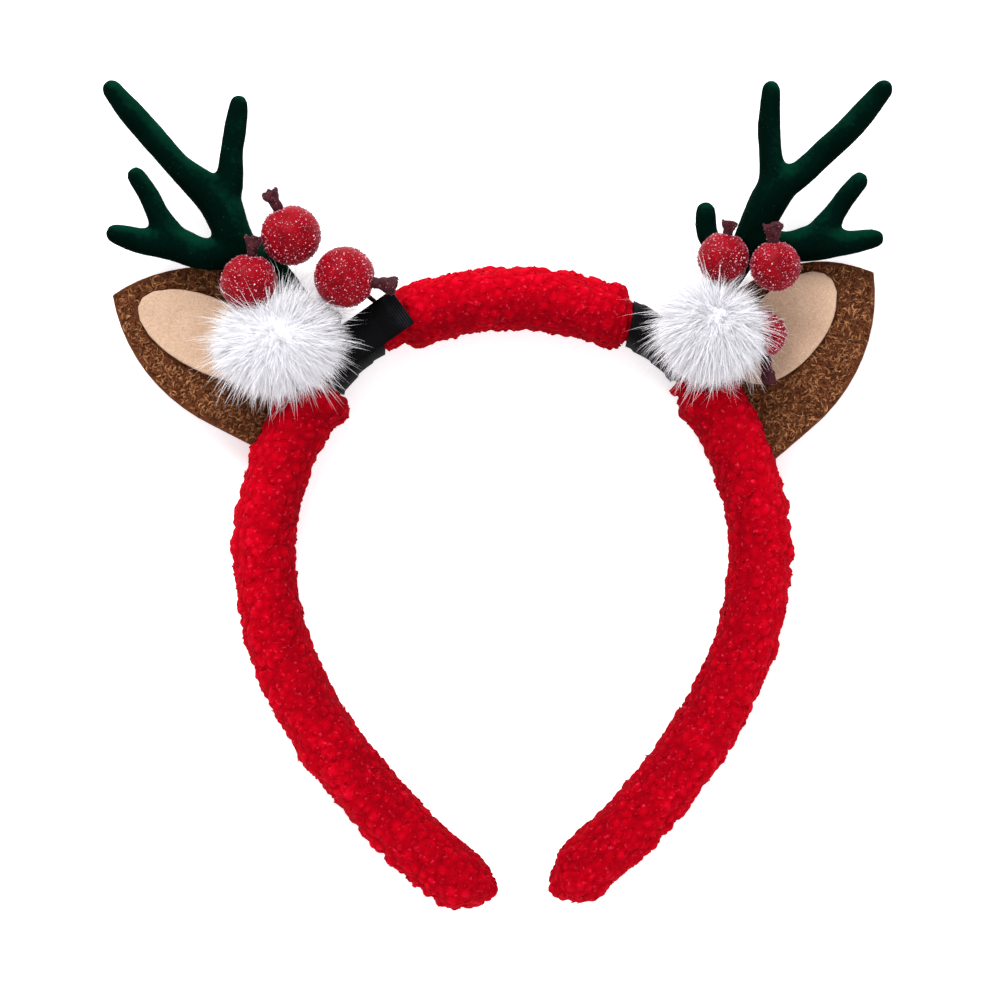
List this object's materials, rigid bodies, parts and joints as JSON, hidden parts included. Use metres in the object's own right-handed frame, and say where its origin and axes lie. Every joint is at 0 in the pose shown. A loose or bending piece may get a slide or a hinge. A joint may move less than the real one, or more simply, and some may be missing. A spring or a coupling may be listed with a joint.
{
  "type": "reindeer antler headband",
  "caption": "Padded red boucle headband with plush reindeer ears, flocked green antlers, frosted berries and white fur pompoms.",
  "frame": {"origin": "on the flattened back of the crown, in the middle of the hoop, where the headband rests", "axes": "+Z to the front, away from the surface it lies on; +Y from the head opening to the crown and the antlers; +X to the right of somebody who looks at the front"},
  "size_m": [0.2048, 0.2156, 0.0404],
  "materials": {
    "red_boucle": "curly sherpa pile, matte",
    "black_ribbon": "ribbed grosgrain, slight sheen",
    "brown_plush": "curly plush, matte",
    "beige_felt": "felt, matte",
    "green_flock": "velvet flocking on moulded plastic",
    "berry_red": "lacquered foam berry with frost grains",
    "crown_brown": "dry dark berry crown, frosted",
    "white_fur": "long soft fur"
  },
  "bodies": {
    "root": {"red_band": "red_boucle", "ribbon_wrap_left": "black_ribbon", "ribbon_wrap_right": "black_ribbon", "ribbon_strip": "black_ribbon", "ear_outer_left": "brown_plush", "ear_outer_right": "brown_plush", "ear_inner_left": "beige_felt", "ear_inner_right": "beige_felt", "antler_left": "green_flock", "antler_right": "green_flock", "berry_left_top": "berry_red", "berry_left_outer": "berry_red", "berry_left_inner": "berry_red", "berry_right_inner": "berry_red", "berry_right_outer": "berry_red", "berry_right_low": "berry_red", "berry_crown_left_top": "crown_brown", "berry_crown_left_outer": "crown_brown", "berry_crown_left_inner": "crown_brown", "berry_crown_right_inner": "crown_brown", "berry_crown_right_outer": "crown_brown", "berry_crown_right_low": "crown_brown", "berry_stem": "crown_brown", "pompom_left": "white_fur", "pompom_right": "white_fur"}
  },
  "joints": []
}
